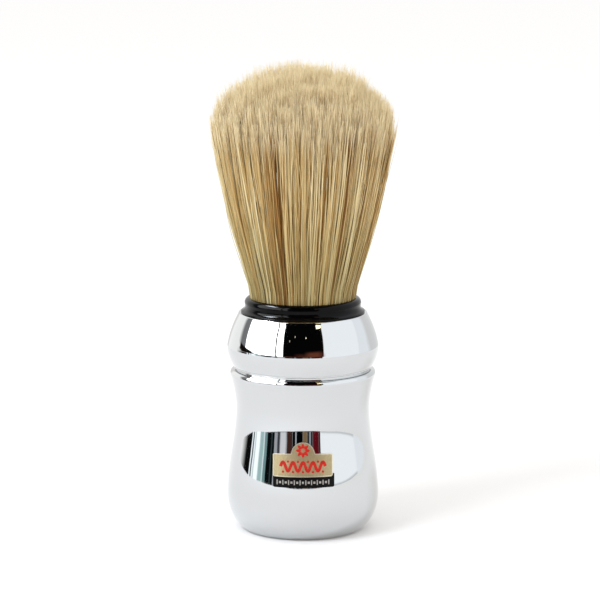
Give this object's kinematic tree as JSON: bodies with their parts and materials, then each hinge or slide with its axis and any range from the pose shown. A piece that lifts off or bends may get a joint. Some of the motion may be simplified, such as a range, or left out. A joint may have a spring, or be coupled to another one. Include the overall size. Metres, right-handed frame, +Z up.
{
  "type": "shaving brush",
  "caption": "Shaving brush: domed fan of pale bristles in a black ferrule, on a waisted, mirror-plated handle with a ridged collar.",
  "frame": {"origin": "centre of the foot, on the surface the brush stands on", "axes": "+Z up the brush towards the bristle tips, -Y to the front, where the label is, +X to the right seen from the front"},
  "size_m": [0.0512, 0.0512, 0.13],
  "materials": {
    "plated_shell": "polished",
    "black_plastic": "gloss",
    "cap_plastic": "satin",
    "bristle": "satin",
    "cord": "matte",
    "resin": "gloss",
    "insert_brass": "satin",
    "zinc_steel": "satin",
    "seal_rubber": "matte",
    "label_black": "gloss",
    "label_gold": "satin"
  },
  "bodies": {
    "handle": {"body_shell": "plated_shell", "collar_shell": "plated_shell", "joint_seal": "seal_rubber", "neck_seal": "seal_rubber", "ferrule": "black_plastic", "brass_insert": "insert_brass", "bristle_roots": "bristle", "binding_cord": "cord", "resin_plug": "resin", "ballast_weight": "zinc_steel", "washer": "zinc_steel", "tie_screw": "zinc_steel", "base_cap": "cap_plastic", "label_backing": "label_black", "label_panel": "label_gold"},
    "bristle_shank": {"bristle_shank": "bristle"},
    "bristle_crown": {"bristle_crown": "bristle"}
  },
  "joints": [
    {"name": "bristle_side_bend", "type": "hinge", "parent": "handle", "child": "bristle_shank", "pos_m": [0, 0, 0.072], "axis": [0, 1, 0], "range_deg": [-20, 20], "stiffness_Nm_per_rad": 0.5},
    {"name": "bristle_front_bend", "type": "hinge", "parent": "bristle_shank", "child": "bristle_crown", "pos_m": [0, 0, 0.09], "axis": [1, 0, 0], "range_deg": [-20, 20], "stiffness_Nm_per_rad": 0.4}
  ]
}
